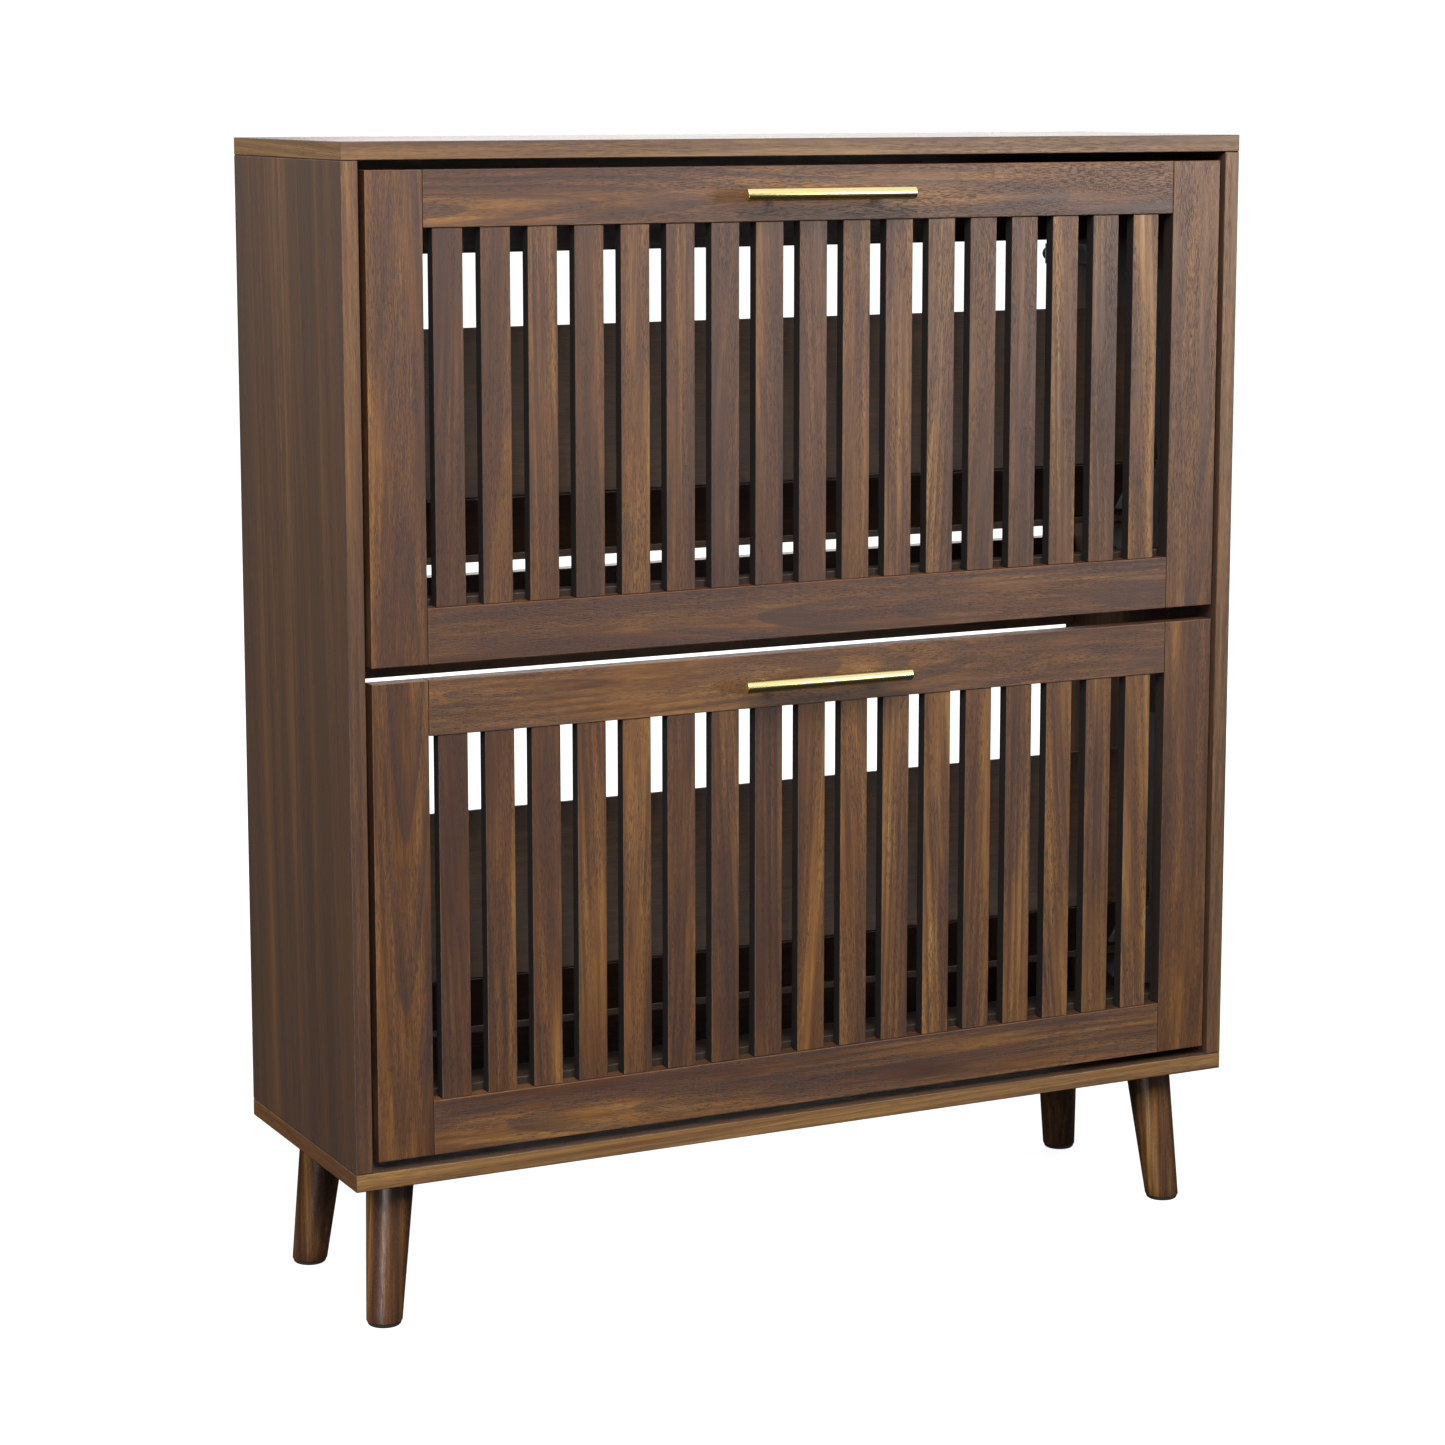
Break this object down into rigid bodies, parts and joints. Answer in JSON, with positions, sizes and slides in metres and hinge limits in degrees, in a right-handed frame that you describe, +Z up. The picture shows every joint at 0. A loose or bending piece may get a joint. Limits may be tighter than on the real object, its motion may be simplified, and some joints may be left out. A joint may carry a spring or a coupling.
{
  "type": "shoe cabinet",
  "caption": "Slim walnut shoe cabinet with slatted drawers that tilt forward, brass bar handles, inner shoe racks and splayed round legs.",
  "frame": {"origin": "centre of the footprint on the floor, handles included", "axes": "+Z up, front faces -Y, +X to the right of someone facing the front"},
  "size_m": [0.8, 0.2684, 0.926],
  "materials": {
    "carcass_walnut": "satin walnut laminate",
    "door_walnut": "satin walnut veneer",
    "leg_walnut": "satin turned walnut",
    "rack_board": "matte brown laminate",
    "brass": "polished",
    "zinc_steel": "zinc plated",
    "grey_plastic": "moulded, fine matte",
    "black_rubber": "matte"
  },
  "bodies": {
    "cabinet": {"top_board": "carcass_walnut", "bottom_board": "carcass_walnut", "left_side": "carcass_walnut", "right_side": "carcass_walnut", "back_rail_top": "carcass_walnut", "back_rail_middle": "carcass_walnut", "back_rail_bottom": "carcass_walnut", "leg_front_left": "leg_walnut", "glide_front_left": "black_rubber", "leg_plate_front_left": "zinc_steel", "leg_front_right": "leg_walnut", "glide_front_right": "black_rubber", "leg_plate_front_right": "zinc_steel", "leg_back_left": "leg_walnut", "glide_back_left": "black_rubber", "leg_plate_back_left": "zinc_steel", "leg_back_right": "leg_walnut", "glide_back_right": "black_rubber", "leg_plate_back_right": "zinc_steel", "wall_bracket_left": "zinc_steel", "wall_bumper_left": "black_rubber", "wall_bracket_right": "zinc_steel", "wall_bumper_right": "black_rubber", "lower_pivot_plate_left": "grey_plastic", "lower_pivot_plate_right": "grey_plastic", "upper_pivot_plate_left": "grey_plastic", "upper_pivot_plate_right": "grey_plastic"},
    "upper_drawer": {"upper_left_stile": "door_walnut", "upper_right_stile": "door_walnut", "upper_top_rail": "door_walnut", "upper_bottom_rail": "door_walnut", "upper_slat_grille": "door_walnut", "upper_handle_bar": "brass", "upper_handle_post_left": "brass", "upper_handle_post_right": "brass", "upper_handle_screw_left": "zinc_steel", "upper_handle_screw_right": "zinc_steel", "upper_rack_arm_left": "grey_plastic", "upper_rack_arm_right": "grey_plastic", "upper_rack_upper_board": "rack_board", "upper_rack_lower_board": "rack_board", "upper_rack_back_shelf": "rack_board", "upper_rack_front_shelf": "rack_board"},
    "lower_drawer": {"lower_left_stile": "door_walnut", "lower_right_stile": "door_walnut", "lower_top_rail": "door_walnut", "lower_bottom_rail": "door_walnut", "lower_slat_grille": "door_walnut", "lower_handle_bar": "brass", "lower_handle_post_left": "brass", "lower_handle_post_right": "brass", "lower_handle_screw_left": "zinc_steel", "lower_handle_screw_right": "zinc_steel", "lower_rack_arm_left": "grey_plastic", "lower_rack_arm_right": "grey_plastic", "lower_rack_upper_board": "rack_board", "lower_rack_lower_board": "rack_board", "lower_rack_back_shelf": "rack_board", "lower_rack_front_shelf": "rack_board"}
  },
  "joints": [
    {"name": "upper_tilt", "type": "hinge", "parent": "cabinet", "child": "upper_drawer", "pos_m": [0, -0.0838, 0.565], "axis": [1, 0, 0], "range_deg": [0, 55]},
    {"name": "lower_tilt", "type": "hinge", "parent": "cabinet", "child": "lower_drawer", "pos_m": [0, -0.0838, 0.178], "axis": [1, 0, 0], "range_deg": [0, 55]}
  ]
}
